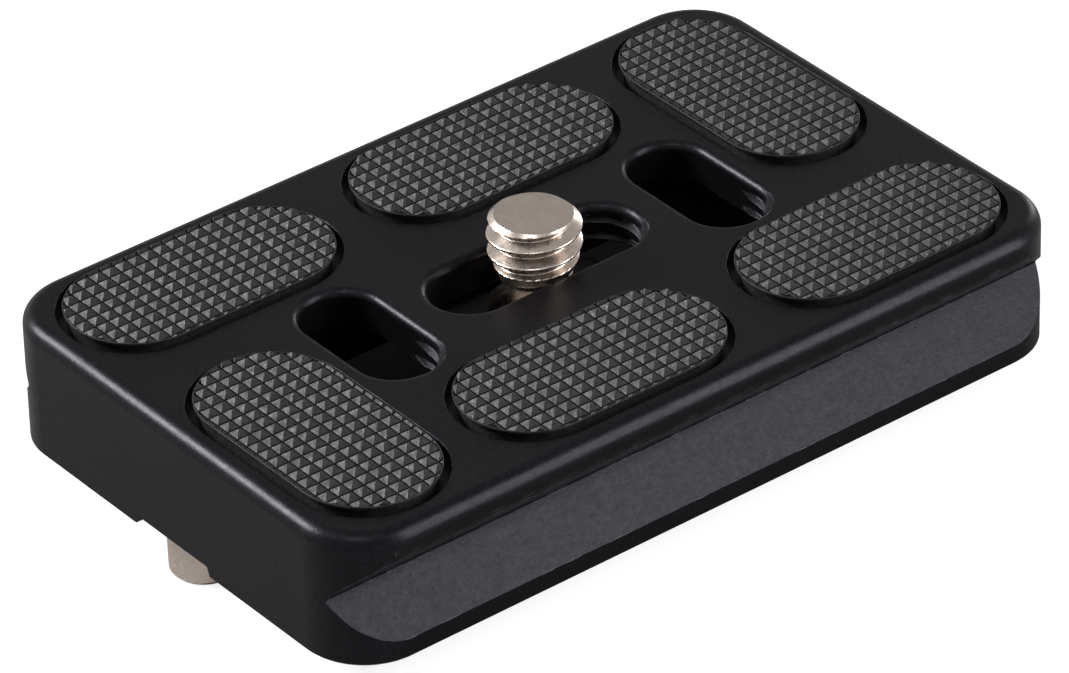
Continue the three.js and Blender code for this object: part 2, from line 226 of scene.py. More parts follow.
# Studio
LAMP_DISTANCE = 0.6
LAMP_COLOUR = "#FFFFFF"
KEY_DIRECTION = (-0.53, 0.662, 0.53)
KEY_SIZE = (0.2, 0.2)
KEY_WATTS = 5
FILL_DIRECTION = (0.505, -0.69, 0.3)
FILL_SIZE = (0.25, 0.66)
FILL_WATTS = 3.8
RIM_DIRECTION = (0.9, 0.36, 0.15)
RIM_SIZE = (0.12, 0.25)
RIM_WATTS = 0.5
TOP_DIRECTION = (-0.36, -0.26, 0.85)
TOP_SIZE = (0.22, 0.2)
TOP_WATTS = 0.5
ROOM_LEVEL = 0.1
CEILING_LEVEL = 0.37
HORIZON_RISE = 0.2
FLOOR_REACH = 3
PAPER_COLOUR = "#AAAAAA"
PAPER_LIFT = 0.85
PAPER_LIFT_MIRRORED = 0.0
WHITE = (1, 1, 1, 1)
SHADE_MARGIN = 3 * MM


def linear(hex_colour):
    """Linear RGBA of an sRGB hex colour."""
    channels = []
    for start in (1, 3, 5):
        value = int(hex_colour[start:start + 2], 16) / 255
        channels.append(value / 12.92 if value <= 0.04045 else ((value + 0.055) / 1.055) ** 2.4)
    return (*channels, 1.0)


def add_node(tree, kind, inputs=None, **settings):
    """Adds a node with its settings, and sets or links its inputs."""
    node = tree.nodes.new(kind)
    for name, value in settings.items():
        setattr(node, name, value)
    for key, value in (inputs or {}).items():
        if isinstance(value, bpy.types.NodeSocket):
            tree.links.new(value, node.inputs[key])
        else:
            node.inputs[key].default_value = value
    return node


def new_material(name):
    """An empty node material with its shader, output and object coordinates."""
    made = bpy.data.materials.new(name)
    made.use_nodes = True
    tree = made.node_tree
    tree.nodes.clear()
    shader = add_node(tree, "ShaderNodeBsdfPrincipled")
    output = add_node(tree, "ShaderNodeOutputMaterial")
    tree.links.new(shader.outputs["BSDF"], output.inputs["Surface"])
    place = add_node(tree, "ShaderNodeTexCoord").outputs["Object"]
    return made, tree, shader, place


def noise(tree, place, grain, detail=COARSE_DETAIL):
    """Noise whose blotches are about one grain across."""
    inputs = {"Vector": place, "Scale": 1 / grain, "Detail": detail, "Roughness": NOISE_ROUGHNESS}
    return add_node(tree, "ShaderNodeTexNoise", inputs).outputs["Fac"]


def ranged(tree, value, limits):
    """Maps the middle of a noise onto the range between two limits."""
    inputs = {
        "Value": value,
        "From Min": NOISE_MIDDLE[0],
        "From Max": NOISE_MIDDLE[1],
        "To Min": limits[0],
        "To Max": limits[1],
    }
    return add_node(tree, "ShaderNodeMapRange", inputs).outputs["Result"]


def mixed(tree, share, first, second):
    """Mixes two colours by a share."""
    inputs = {"Factor": share, "A": first, "B": second}
    return add_node(tree, "ShaderNodeMix", inputs, data_type="RGBA").outputs["Result"]


def wandering(tree, place, grain, colours, detail=COARSE_DETAIL):
    """A colour that wanders between two hex colours."""
    share = ranged(tree, noise(tree, place, grain, detail), (0, 1))
    return mixed(tree, share, *map(linear, colours))


def roughened(tree, shader, place, grain, limits):
    """Gives a shader a roughness that wanders between two limits."""
    sheen = ranged(tree, noise(tree, place, grain), limits)
    tree.links.new(sheen, shader.inputs["Roughness"])


def bumped(tree, shader, pattern, bump, **inputs):
    """Raises a pattern on a shader's surface, by a bump's strength and height."""
    strength, distance = bump
    inputs.update({"Height": pattern, "Strength": strength, "Distance": distance})
    raised = add_node(tree, "ShaderNodeBump", inputs)
    tree.links.new(raised.outputs["Normal"], shader.inputs["Normal"])


def worn_and_highlit_edges(tree, place):
    """A normal that rounds sharp edges, and where wear and painted highlight show along them in
    patches.
    """
    bevel = add_node(tree, "ShaderNodeBevel", {"Radius": WEAR_AND_HIGHLIGHT_EDGE}, samples=WEAR_AND_HIGHLIGHT_SAMPLES)
    rounded_normal = bevel.outputs["Normal"]
    true_normal = add_node(tree, "ShaderNodeNewGeometry").outputs["True Normal"]
    normals = {0: rounded_normal, 1: true_normal}
    match = add_node(tree, "ShaderNodeVectorMath", normals, operation="DOT_PRODUCT")
    edge = add_node(tree, "ShaderNodeMapRange", {
        "Value": match.outputs["Value"],
        "From Min": WEAR_AND_HIGHLIGHT_MATCH[0],
        "From Max": WEAR_AND_HIGHLIGHT_MATCH[1],
        "To Min": 0.0,
        "To Max": 1.0,
    })
    patch = ranged(tree, noise(tree, place, WEAR_AND_HIGHLIGHT_PATCH, FINE_DETAIL), WEAR_AND_HIGHLIGHT_SHARE)
    factors = {0: edge.outputs["Result"], 1: patch}
    wear_and_highlight = add_node(tree, "ShaderNodeMath", factors, operation="MULTIPLY").outputs[0]
    return rounded_normal, wear_and_highlight


def anodised_aluminium():
    # Bead-blasted aluminium under a dyed black oxide layer: a deep neutral black with a soft, low
    # gloss, broken up by a fine grit, and lighter grey here and there along its sharp edges, partly
    # worn and partly a painted highlight where the edges catch the lamps.
    made, tree, shader, place = new_material("bead_blasted_black_anodised_aluminium")
    dye = wandering(tree, place, ANODISED_CLOUD, ANODISED_COLOURS)
    rounded_normal, wear_and_highlight = worn_and_highlit_edges(tree, place)
    # Lighter grey in patches along the sharp edges: wear, and partly a painted highlight
    tree.links.new(mixed(tree, wear_and_highlight, dye, linear(WEAR_AND_HIGHLIGHT_COLOUR)), shader.inputs["Base Color"])
    roughened(tree, shader, place, ANODISED_SHEEN, ANODISED_ROUGHNESS)
    facets = noise(tree, place, ANODISED_FACETS, FINE_DETAIL)
    tree.links.new(ranged(tree, facets, ANODISED_SPECULAR), shader.inputs["Specular IOR Level"])
    shader.inputs["Specular Tint"].default_value = linear(ANODISED_TINT)
    grit = noise(tree, place, ANODISED_GRIT, FINE_DETAIL)
    bumped(tree, shader, grit, ANODISED_BUMP, Normal=rounded_normal)
    return made


def moulded_rubber():
    # Moulded black rubber: dark grey with a fine mottle, and a dull gloss on the studs' flanks.
    made, tree, shader, place = new_material("moulded_black_rubber")
    mottle = wandering(tree, place, RUBBER_MOTTLE, RUBBER_COLOURS, FINE_DETAIL)
    tree.links.new(mottle, shader.inputs["Base Color"])
    roughened(tree, shader, place, RUBBER_SHEEN, RUBBER_ROUGHNESS)
    shader.inputs["Specular IOR Level"].default_value = RUBBER_SPECULAR
    bumped(tree, shader, noise(tree, place, RUBBER_SKIN, FINE_DETAIL), RUBBER_BUMP)
    return made


def turned_steel(name, centre):
    # Turned stainless steel: warm grey metal, with the lathe tool's fine rings around its axis.
    # The real feed of 0.05 mm is drawn wider, so that it shows.
    made, tree, shader, place = new_material(name)
    tree.links.new(wandering(tree, place, STEEL_CLOUD, STEEL_COLOURS), shader.inputs["Base Color"])
    shader.inputs["Metallic"].default_value = 1.0
    roughened(tree, shader, place, STEEL_SHEEN, STEEL_ROUGHNESS)
    to_centre = {"Vector": place, "Location": (-centre.x, -centre.y, 0)}
    centred = add_node(tree, "ShaderNodeMapping", to_centre).outputs["Vector"]
    scale = math.tau / WAVE_RADIANS / STEEL_FEED
    waves = {"Vector": centred, "Scale": scale, "Distortion": STEEL_FEED_DRIFT}
    rings = add_node(tree, "ShaderNodeTexWave", waves, wave_type="RINGS", rings_direction="Z")
    bumped(tree, shader, rings.outputs["Fac"], STEEL_BUMP)
    return made


def drawn_wire():
    # Drawn stainless wire: brighter and smoother than the turned steel, with faint die marks.
    made, tree, shader, place = new_material("drawn_stainless_wire")
    tree.links.new(wandering(tree, place, WIRE_CLOUD, WIRE_COLOURS), shader.inputs["Base Color"])
    shader.inputs["Metallic"].default_value = 1.0
    roughened(tree, shader, place, WIRE_SHEEN, WIRE_ROUGHNESS)
    bumped(tree, shader, noise(tree, place, WIRE_MARKS), WIRE_BUMP)
    return made


def black_nylon():
    # Punched nylon sheet: black, evenly matt, with a faint grain.
    made, tree, shader, place = new_material("punched_black_nylon")
    tree.links.new(wandering(tree, place, NYLON_CLOUD, NYLON_COLOURS), shader.inputs["Base Color"])
    shader.inputs["Roughness"].default_value = NYLON_ROUGHNESS
    shader.inputs["IOR"].default_value = NYLON_IOR
    bumped(tree, shader, noise(tree, place, NYLON_GRAIN), NYLON_BUMP)
    return made


def circle(radius, z, steps=ROUND_STEPS, centre=(0, 0)):
    """Points of a circle at one height, anticlockwise seen from above."""
    x, y = centre
    angles = [math.tau * step / steps for step in range(steps)]
    return [Vector((x + radius * math.cos(a), y + radius * math.sin(a), z)) for a in angles]


def rounded(length, width, radius, z):
    """Points of a rectangle with round corners, at one height."""
    points = []
    for corner in range(4):
        side_x = 1 if corner in (0, 3) else -1
        side_y = 1 if corner < 2 else -1
        for step in range(CORNER_STEPS + 1):
            angle = math.pi / 2 * (corner + step / CORNER_STEPS)
            x = side_x * (length / 2 - radius) + radius * math.cos(angle)
            y = side_y * (width / 2 - radius) + radius * math.sin(angle)
            points.append(Vector((x, y, z)))
    return points


def stadium(length, width, z):
    """Points of a shape with straight sides along X and half-round ends, at one height."""
    radius = width / 2
    points = []
    for side in (1, -1):
        for step in range(STADIUM_STEPS + 1):
            angle = math.pi * (step / STADIUM_STEPS - side / 2)
            x = side * (length / 2 - radius) + radius * math.cos(angle)
            points.append(Vector((x, radius * math.sin(angle), z)))
    return points


def loft(name, rings, closed_ring=False):
    """A closed body through rings of equal point counts; a closed ring of rings has no end caps."""
    mesh = bmesh.new()
    rows = [[mesh.verts.new(point) for point in ring] for ring in rings]
    pairs = list(zip(rows, rows[1:]))
    if closed_ring:
        pairs.append((rows[-1], rows[0]))
    else:
        mesh.faces.new(list(reversed(rows[0])))
        mesh.faces.new(rows[-1])
    count = len(rows[0])
    for lower, upper in pairs:
        for i in range(count):
            j = (i + 1) % count
            mesh.faces.new((lower[i], lower[j], upper[j], upper[i]))
    bmesh.ops.recalc_face_normals(mesh, faces=mesh.faces)
    data = bpy.data.meshes.new(name)
    mesh.to_mesh(data)
    mesh.free()
    made = bpy.data.objects.new(name, data)
    bpy.context.scene.collection.objects.link(made)
    return made


def baked(piece):
    """Replaces a piece's mesh by its evaluated one and removes its modifiers."""
    graph = bpy.context.evaluated_depsgraph_get()
    graph.update()
    result = bpy.data.meshes.new_from_object(piece.evaluated_get(graph))
    piece.modifiers.clear()
    piece.data = result
    return piece


def shade(piece, sharp_above=SHARP_ABOVE):
    """Smooth shading that keeps corners sharp and flat faces flat."""
    piece.data.shade_smooth()
    piece.data.set_sharp_from_angle(angle=math.radians(sharp_above))
    weighted = piece.modifiers.new("weighted_normals", "WEIGHTED_NORMAL")
    weighted.keep_sharp = True


def round_edges(piece, width, above=ROUNDED_ABOVE):
    """Small round edges wherever faces meet at more than the given angle."""
    bevel = piece.modifiers.new("edge_rounds", "BEVEL")
    bevel.width = width
    bevel.segments = 2
    bevel.limit_method = "ANGLE"
    bevel.angle_limit = math.radians(above)


def dress(piece, node, body, material):
    """Puts a piece in the place of a CAD node, on its body, in its material."""
    piece.data.materials.clear()
    piece.data.materials.append(material)
    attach(piece, body)
    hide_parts(node)


def quarter(steps):
    """Inset and rise, as shares of the radius, along a quarter round that ends flat."""
    angles = [math.pi / 2 * step / steps for step in range(steps + 1)]
    return [(1 - math.cos(angle), math.sin(angle)) for angle in angles]


def bar(name, profile, half_length):
    """A body of constant section along X, from a profile of Y and Z."""
    return loft(name, [[Vector((x, y, z)) for y, z in profile] for x in (-half_length, half_length)])


def combine(piece, tool, operation):
    """Joins a tool body to a piece or cuts it away, and deletes the tool."""
    step = piece.modifiers.new("combine", "BOOLEAN")
    step.operation = operation
    step.solver = "EXACT"
    step.object = tool
    baked(piece)
    bpy.data.objects.remove(tool)


def shifted(piece, x=0.0, y=0.0, z=0.0, turn=0.0):
    """Turns a mesh about Z and moves it, leaving its object at the origin."""
    piece.data.transform(Matrix.Translation((x, y, z)) @ Matrix.Rotation(turn, 4, "Z"))
    return piece


def slot_cutter(length, width, lip, low_z):
    """A stadium cutter from low_z up through the top face, widening in a rounded lip."""
    rings = [stadium(length, width, low_z)]
    for inset, rise in quarter(LIP_STEPS):
        grow = 2 * lip * inset
        rings.append(stadium(length + grow, width + grow, TOP_Z - lip * (1 - rise)))
    rings.append(stadium(length + 2 * lip, width + 2 * lip, TOP_Z + CUT_OVERRUN))
    return loft("slot_cutter", rings)


def groove_cutter(side):
    """The V groove along one long side, the upper edge of its mouth broken."""
    face = PLATE_HIGH.y
    slant = EDGE_BREAK * math.sqrt(0.5)
    lip = FOOT_Z + LIP_HEIGHT
    slab = lip + 2 * GROOVE_DEPTH + GROOVE_FLAT
    slope = (EDGE_BREAK + slant) / slant
    profile = (
        (face + CUT_OVERRUN, lip - CUT_OVERRUN),
        (face - GROOVE_DEPTH, lip + GROOVE_DEPTH),
        (face - GROOVE_DEPTH, lip + GROOVE_DEPTH + GROOVE_FLAT),
        (face - slant, slab - slant),
        (face, slab + EDGE_BREAK),
        (face + CUT_OVERRUN, slab + EDGE_BREAK + CUT_OVERRUN * slope),
    )
    return bar("groove_cutter", [(side * y, z) for y, z in profile], PLATE_HIGH.x + CUT_OVERRUN)


def channel_cutter():
    """The shallow channel along the underside, its mouth flared."""
    half = CHANNEL_WIDTH / 2
    side = (
        (half + CHANNEL_FLARE, FOOT_Z - CUT_OVERRUN),
        (half + CHANNEL_FLARE, FOOT_Z),
        (half + CHANNEL_FLARE / 2, FOOT_Z + CHANNEL_FLARE / 2),
        (half, FOOT_Z + CHANNEL_DEPTH),
    )
    profile = list(side) + [(-y, z) for y, z in reversed(side)]
    return bar("channel_cutter", profile, PLATE_HIGH.x + CUT_OVERRUN)


def pocket_cutter():
    """The underside pocket that the camera screw's head moves in, its mouth edge broken."""
    length = PLATE_HIGH.x - PLATE_LOW.x - 2 * POCKET_END_WALL
    width = PLATE_HIGH.y - PLATE_LOW.y - 2 * (GROOVE_DEPTH + POCKET_SIDE_WALL)
    sections = (
        (1, FOOT_Z - CUT_OVERRUN),
        (1, FOOT_Z),
        (0, FOOT_Z + EDGE_BREAK),
        (0, TOP_Z - WEB_THICKNESS),
    )
    rings = []
    for grow, z in sections:
        wide = 2 * EDGE_BREAK * grow
        rings.append(rounded(length + wide, width + wide, POCKET_CORNER + EDGE_BREAK * grow, z))
    return loft("pocket_cutter", rings)


def tap_cutter():
    """Internal thread of a slot's tapped end."""
    low, high = TOP_Z - WEB_THICKNESS - CUT_OVERRUN, TOP_Z + CUT_OVERRUN

    def radius_at(z, turn_share):
        return TAP_MINOR + (TAP_MAJOR - TAP_MINOR) * thread_lift(z, turn_share, low)

    return loft("tap_cutter", thread_rings(radius_at, low, high, TAP_COLUMNS, TAP_ROW))


def recess_cutter(node):
    """The recess that one pad lies in."""
    length, width, middle, turn = pad_frame(node)
    length, width = length + 2 * RECESS_GAP, width + 2 * RECESS_GAP
    recess = slot_cutter(length, width, RECESS_LIP, TOP_Z - RECESS_DEPTH)
    return shifted(recess, middle.x, middle.y, turn=turn)


def stop_hole_cutter(node):
    """The hole that one stop screw's shank stands in."""
    low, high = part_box(node)
    radius = STOP_SHANK_RADIUS + STOP_HOLE_GAP
    rings = [circle(radius, z, BORE_STEPS) for z in (FOOT_Z, high.z + CUT_OVERRUN)]
    return shifted(loft("stop_hole", rings), (low.x + high.x) / 2)


def make_plate(anodised):
    length, width = PLATE_HIGH.x - PLATE_LOW.x, PLATE_HIGH.y - PLATE_LOW.y

    def outline(inset, z):
        return rounded(length - 2 * inset, width - 2 * inset, CORNER_RADIUS - inset, z)

    rings = [outline(EDGE_BREAK, FOOT_Z), outline(0, FOOT_Z + EDGE_BREAK)]
    for inset, rise in quarter(FILLET_STEPS):
        rings.append(outline(TOP_FILLET * inset, TOP_Z - TOP_FILLET * (1 - rise)))
    piece = loft("dovetail_plate", rings)
    web_z = TOP_Z - WEB_THICKNESS - CUT_OVERRUN
    cutters = [groove_cutter(1), groove_cutter(-1), pocket_cutter(), channel_cutter()]
    cutters.append(slot_cutter(CENTRAL_SLOT_LENGTH, SLOT_WIDTH, SLOT_LIP, web_z))
    cutters.append(shifted(tap_cutter(), (CENTRAL_SLOT_LENGTH - SLOT_WIDTH) / 2))
    for side in (1, -1):
        x = side * CROSS_SLOT_X
        slot = slot_cutter(CROSS_SLOT_LENGTH, SLOT_WIDTH, SLOT_LIP, web_z)
        cutters.append(shifted(slot, x, turn=math.pi / 2))
        cutters.append(shifted(tap_cutter(), x, -(CROSS_SLOT_LENGTH - SLOT_WIDTH) / 2))
    cutters += [recess_cutter(node) for node in PAD_STUD_SHARES]
    cutters += [stop_hole_cutter(node) for node in ("stop_screw_left", "stop_screw_right")]
    for cutter in cutters:
        combine(piece, cutter, "DIFFERENCE")
    shade(piece)
    dress(piece, "plate_body", "plate", anodised)


def stud_tree(rubber):
    """Geometry Nodes that stand a lattice of pyramid studs, cut them to a pad's outline and put them in
    the pad's place."""
    tree = bpy.data.node_groups.new("rubber_studs", "GeometryNodeTree")
    face = tree.interface
    face.new_socket("Outline", in_out="INPUT", socket_type="NodeSocketGeometry")
    sizes = ("Pitch", "Stud Width", "Tip Share", "Foot Height", "Foot Middle", "Point Height", "Turn")
    for size in sizes:
        face.new_socket(size, in_out="INPUT", socket_type="NodeSocketFloat")
    for count in ("Studs Along", "Studs Across"):
        face.new_socket(count, in_out="INPUT", socket_type="NodeSocketInt")
    for vector in ("Lattice Shift", "Place"):
        face.new_socket(vector, in_out="INPUT", socket_type="NodeSocketVector")
    face.new_socket("Studs", in_out="OUTPUT", socket_type="NodeSocketGeometry")
    given = add_node(tree, "NodeGroupInput").outputs

    def maths(operation, first, second=0.0):
        inputs = {0: first, 1: second}
        return add_node(tree, "ShaderNodeMath", inputs, operation=operation).outputs[0]

    def span(count):
        return maths("MULTIPLY", maths("SUBTRACT", given[count], 1.0), given["Pitch"])

    grid = add_node(tree, "GeometryNodeMeshGrid", {
        "Size X": span("Studs Along"),
        "Size Y": span("Studs Across"),
        "Vertices X": given["Studs Along"],
        "Vertices Y": given["Studs Across"],
    })
    raised = add_node(tree, "ShaderNodeCombineXYZ", {"Z": given["Foot Middle"]})
    parts = {0: raised.outputs["Vector"], 1: given["Lattice Shift"]}
    start = add_node(tree, "ShaderNodeVectorMath", parts)
    lattice = add_node(tree, "GeometryNodeTransform", {
        "Geometry": grid.outputs["Mesh"],
        "Translation": start.outputs["Vector"],
    })
    foot_size = add_node(tree, "ShaderNodeCombineXYZ", {
        "X": given["Stud Width"],
        "Y": given["Stud Width"],
        "Z": given["Foot Height"],
    })
    foot = add_node(tree, "GeometryNodeMeshCube", {"Size": foot_size.outputs["Vector"]})
    normal = add_node(tree, "GeometryNodeInputNormal").outputs[0]
    facing = add_node(tree, "ShaderNodeSeparateXYZ", {"Vector": normal})
    point = add_node(tree, "GeometryNodeExtrudeMesh", {
        "Mesh": foot.outputs["Mesh"],
        "Selection": maths("GREATER_THAN", facing.outputs["Z"], 0.5),
        "Offset Scale": given["Point Height"],
    })
    stud = add_node(tree, "GeometryNodeScaleElements", {
        "Geometry": point.outputs["Mesh"],
        "Selection": point.outputs["Top"],
        "Scale": given["Tip Share"],
    })
    rows = add_node(tree, "GeometryNodeInstanceOnPoints", {
        "Points": lattice.outputs["Geometry"],
        "Instance": stud.outputs["Geometry"],
    })
    solid = add_node(tree, "GeometryNodeRealizeInstances", {"Geometry": rows.outputs["Instances"]})
    trimmed = add_node(tree, "GeometryNodeMeshBoolean", operation="INTERSECT", solver="EXACT")
    tree.links.new(solid.outputs["Geometry"], trimmed.inputs["Mesh 2"])
    tree.links.new(given["Outline"], trimmed.inputs["Mesh 2"])
    turn = add_node(tree, "ShaderNodeCombineXYZ", {"Z": given["Turn"]})
    placed = add_node(tree, "GeometryNodeTransform", {
        "Geometry": trimmed.outputs["Mesh"],
        "Translation": given["Place"],
        "Rotation": turn.outputs["Vector"],
    })
    realized = add_node(tree, "GeometryNodeRealizeInstances", {"Geometry": placed.outputs["Geometry"]})
    finished = add_node(tree, "GeometryNodeSetMaterial", {"Geometry": realized.outputs["Geometry"]})
    finished.inputs["Material"].default_value = rubber
    add_node(tree, "NodeGroupOutput", {"Studs": finished.outputs["Geometry"]})
    return tree


def pad_frame(node):
    """Length, width, middle and turn of a pad."""
    low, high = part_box(node)
    size = high - low
    turn = math.pi / 2 if size.y > size.x else 0.0
    return max(size.x, size.y), min(size.x, size.y), (low + high) / 2, turn


def make_pad(node, lattice_shares, studs, rubber):
    """A pad's body, with a low rim round its sunk middle, and the studs that stand in it."""
    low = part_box(node)[0]
    length, width, middle, turn = pad_frame(node)
    length, width = length - 2 * PAD_INSET, width - 2 * PAD_INSET

    def outline(inset, z):
        return stadium(length - 2 * inset, width - 2 * inset, z)

    edge_z = PAD_RIM_RISE - PAD_EDGE_HEIGHT
    floor_z = PAD_RIM_RISE - PAD_FLOOR_DROP
    rings = [outline(PAD_UNDERCUT, low.z - TOP_Z), outline(PAD_UNDERCUT, 0), outline(0, edge_z)]
    for inset, rise in quarter(LIP_STEPS):
        rings.append(outline(PAD_EDGE_ROUND * inset, PAD_RIM_RISE - PAD_EDGE_ROUND * (1 - rise)))
    rings += [outline(PAD_RIM_WIDTH, PAD_RIM_RISE), outline(PAD_RIM_WIDTH, floor_z)]
    body = loft(node + "_rubber", rings)
    shade(shifted(body, middle.x, middle.y, TOP_Z, turn))
    dress(body, node, "plate", rubber)

    heights = (floor_z - 2 * STUD_SINK, 2 * STUD_RISE)
    piece = loft(node + "_studs", [outline(PAD_RIM_WIDTH, z) for z in heights])
    shift = Vector((*lattice_shares, 0)) * STUD_PITCH
    shift.rotate(Matrix.Rotation(-turn, 3, "Z"))
    values = {
        "Pitch": STUD_PITCH,
        "Stud Width": STUD_WIDTH,
        "Tip Share": STUD_TIP / STUD_WIDTH,
        "Foot Height": STUD_FOOT + STUD_SINK,
        "Foot Middle": floor_z + (STUD_FOOT - STUD_SINK) / 2,
        "Point Height": STUD_RISE - floor_z - STUD_FOOT,
        "Studs Along": 2 * math.ceil(length / 2 / STUD_PITCH) + STUD_SPARE_ROWS,
        "Studs Across": 2 * math.ceil(width / 2 / STUD_PITCH) + STUD_SPARE_ROWS,
        "Lattice Shift": shift,
        "Turn": turn,
        "Place": (middle.x, middle.y, TOP_Z),
    }
    inputs = [item for item in studs.interface.items_tree if item.in_out == "INPUT"]
    sockets = {item.name: item.identifier for item in inputs}
    rows = piece.modifiers.new("studs", "NODES")
    rows.node_group = studs
    for name, value in values.items():
        rows[sockets[name]] = value
    baked(piece)
    shade(piece)
    dress(piece, node, "plate", rubber)


def make_pads(rubber):
    studs = stud_tree(rubber)
    for node, lattice_shares in PAD_STUD_SHARES.items():
        make_pad(node, lattice_shares, studs, rubber)


def thread_lift(z, turn_share, base_z):
    """Height of the thread form, from 0 at its root to 1 at its crest, at a share of a turn."""
    root_end, crest_start, crest_end = THREAD_SHARES
    share = ((z - base_z) / THREAD_PITCH - turn_share) % 1
    if share < root_end:
        return 0
    if share < crest_start:
        return (share - root_end) / (crest_start - root_end)
    if share < crest_end:
        return 1
    return (1 - share) / (1 - crest_end)


def thread_rings(radius_at, low_z, high_z, columns, row_height):
    """Rings of points from low_z to high_z, at the radius that each height and share of a turn has."""
    rows = math.ceil((high_z - low_z) / row_height)
    rings = []
    for row in range(rows + 1):
        z = low_z + (high_z - low_z) * row / rows
        ring = []
        for column in range(columns):
            radius = radius_at(z, column / columns)
            angle = math.tau * column / columns
            ring.append(Vector((radius * math.cos(angle), radius * math.sin(angle), z)))
        rings.append(ring)
    return rings


def stud_radius(z, turn_share):
    """Radius of the threaded stud, its neck, run-out and tip included."""
    lift = thread_lift(z + THREAD_START, turn_share, WASHER_LOW.z)
    form = THREAD_MINOR + (THREAD_MAJOR - THREAD_MINOR) * lift
    slope = (THREAD_MAJOR - NECK_RADIUS) / RUNOUT_LENGTH
    runout = max(NECK_RADIUS, THREAD_MAJOR - slope * (TOP_Z + RUNOUT_RISE - z))
    tip = THREAD_MAJOR - TIP_CHAMFER + (SCREW_HIGH.z - z)
    return min(form, runout, tip)


def make_camera_screw(steel):
    flange_radius = (SCREW_HIGH.x - SCREW_LOW.x) / 2
    flange_top = WASHER_LOW.z
    flange_low = flange_top - FLANGE_THICKNESS
    rings = thread_rings(stud_radius, flange_top, SCREW_HIGH.z, THREAD_COLUMNS, THREAD_ROW)
    root = circle(NECK_RADIUS, (flange_low + flange_top) / 2, THREAD_COLUMNS)
    stud = loft("camera_screw_stud", [root, *rings])
    shade(stud, THREAD_SHARP)
    dress(stud, "camera_screw", "screw", steel)

    flange = [circle(flange_radius, z) for z in (flange_low, flange_top)]
    head = loft("camera_screw_head", flange)
    ring_z = (RING_LOW.z + RING_HIGH.z) / 2
    hub = hub_body(flange_low + FLANGE_THICKNESS / 2)
    half_slot = (2 * HUB_RADIUS, COIN_SLOT_WIDTH / 2, COIN_SLOT_DEPTH)
    slot = block("coin_slot", half_slot, (0, 0, SCREW_LOW.z))
    combine(head, hub, "UNION")
    combine(head, slot, "DIFFERENCE")
    for side in (1, -1):
        depths = (RING_PIN_Y - WIRE_BEND / 3, HUB_RADIUS)
        bore = loft("ring_bore", [circle(WIRE_RADIUS + RING_HOLE_GAP, z, BORE_STEPS) for z in depths])
        sideways = Matrix.Rotation(-side * math.pi / 2, 4, "X")
        bore.data.transform(Matrix.Translation((0, 0, ring_z)) @ sideways)
        combine(head, bore, "DIFFERENCE")
    round_edges(head, EDGE_ROUND)
    shade(head)
    dress(head, "camera_screw", "screw", steel)


def hub_body(top_z):
    """Round hub with two flats across Y."""
    half_round = math.asin(HUB_FLAT / HUB_RADIUS)
    outline = []
    for middle in (0, math.pi):
        for step in range(HUB_STEPS + 1):
            angle = middle - half_round + 2 * half_round * step / HUB_STEPS
            outline.append((HUB_RADIUS * math.cos(angle), HUB_RADIUS * math.sin(angle)))
    return loft("hub", [[Vector((x, y, z)) for x, y in outline] for z in (SCREW_LOW.z, top_z)])


def block(name, half_size, middle):
    """A plain cutter block."""
    across, along, up = half_size
    corners = [(across, along), (-across, along), (-across, -along), (across, -along)]
    piece = loft(name, [[Vector((x, y, z)) for x, y in corners] for z in (-up, up)])
    return shifted(piece, *middle)


def make_washer(nylon):
    outer = (WASHER_HIGH.x - WASHER_LOW.x) / 2
    low, high = WASHER_LOW.z, WASHER_HIGH.z
    corners = ((outer, low), (outer, high), (WASHER_BORE, high), (WASHER_BORE, low))
    piece = loft("nylon_washer", [circle(radius, z) for radius, z in corners], closed_ring=True)
    round_edges(piece, EDGE_ROUND / 2)
    shade(piece)
    dress(piece, "screw_washer", "slider", nylon)


def ring_path():
    """Middle line of the D ring's wire in plan, from pin to pin."""
    leg_y = RING_HIGH.y - WIRE_RADIUS
    bow = RING_HIGH.x - WIRE_RADIUS - leg_y
    half = [(0, RING_PIN_Y), (0, (RING_PIN_Y + leg_y - WIRE_BEND) / 2)]
    for step in range(BEND_STEPS + 1):
        angle = math.pi / 2 * step / BEND_STEPS
        half.append((WIRE_BEND * (1 - math.cos(angle)), leg_y - WIRE_BEND * (1 - math.sin(angle))))
    for step in range(BOW_STEPS + 1):
        angle = math.pi / 2 * step / BOW_STEPS
        half.append((bow + leg_y * math.sin(angle), leg_y * math.cos(angle)))
    return half + [(x, -y) for x, y in reversed(half[:-1])]


def make_ring(steel):
    ring_z = (RING_LOW.z + RING_HIGH.z) / 2
    path = [Vector((x, y, ring_z)) for x, y in ring_path()]
    up = Vector((0, 0, 1))
    rings = []
    for i, point in enumerate(path):
        along = (path[min(i + 1, len(path) - 1)] - path[max(i - 1, 0)]).normalized()
        side = along.cross(up)
        ring = []
        for step in range(WIRE_STEPS):
            angle = math.tau * step / WIRE_STEPS
            ring.append(point + WIRE_RADIUS * (math.cos(angle) * side + math.sin(angle) * up))
        rings.append(ring)
    piece = loft("d_ring_wire", rings)
    round_edges(piece, EDGE_ROUND)
    shade(piece)
    dress(piece, "screw_ring", "ring", steel)


def hexagon(radius, z, centre):
    """Points of a hexagon, as many as a circle has, at one height."""
    x, y = centre
    sixth = math.pi / 3
    points = []
    for step in range(ROUND_STEPS):
        angle = math.tau * step / ROUND_STEPS
        reach = radius * math.cos(sixth / 2) / math.cos(angle % sixth - sixth / 2)
        points.append(Vector((x + reach * math.cos(angle), y + reach * math.sin(angle), z)))
    return points


